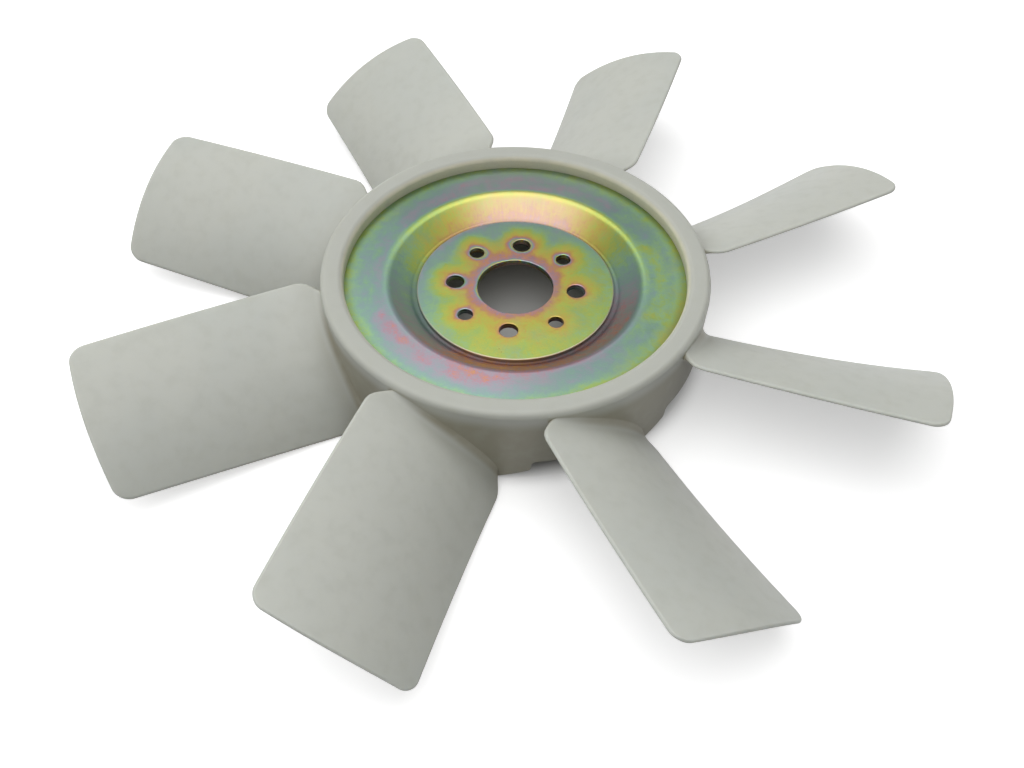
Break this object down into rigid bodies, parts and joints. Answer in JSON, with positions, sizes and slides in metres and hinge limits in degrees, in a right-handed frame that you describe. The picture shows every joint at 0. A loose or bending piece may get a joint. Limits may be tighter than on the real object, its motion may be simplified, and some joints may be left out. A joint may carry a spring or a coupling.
{
  "type": "engine cooling fan",
  "caption": "Axial engine cooling fan: moulded nylon hub ring with twisted blades round a dished steel disc and a flat bolt-on plate.",
  "frame": {"origin": "centre of the pilot bore, on the rear face of the steel disc that is bolted down", "axes": "+Z along the axis of rotation, to the front of the fan; +X through a large bolt hole"},
  "size_m": [0.484, 0.484, 0.0564],
  "materials": {
    "natural_nylon": "natural white nylon, satin, slightly translucent",
    "yellow_chromate_steel": "zinc plated, yellow chromate with an iridescent film",
    "yellow_chromate_plate": "zinc plated, yellow chromate with an iridescent film, bright sheared edge"
  },
  "bodies": {
    "root": {"fan_moulding": "natural_nylon", "formed_disc": "yellow_chromate_steel", "mounting_plate": "yellow_chromate_plate"}
  },
  "joints": []
}
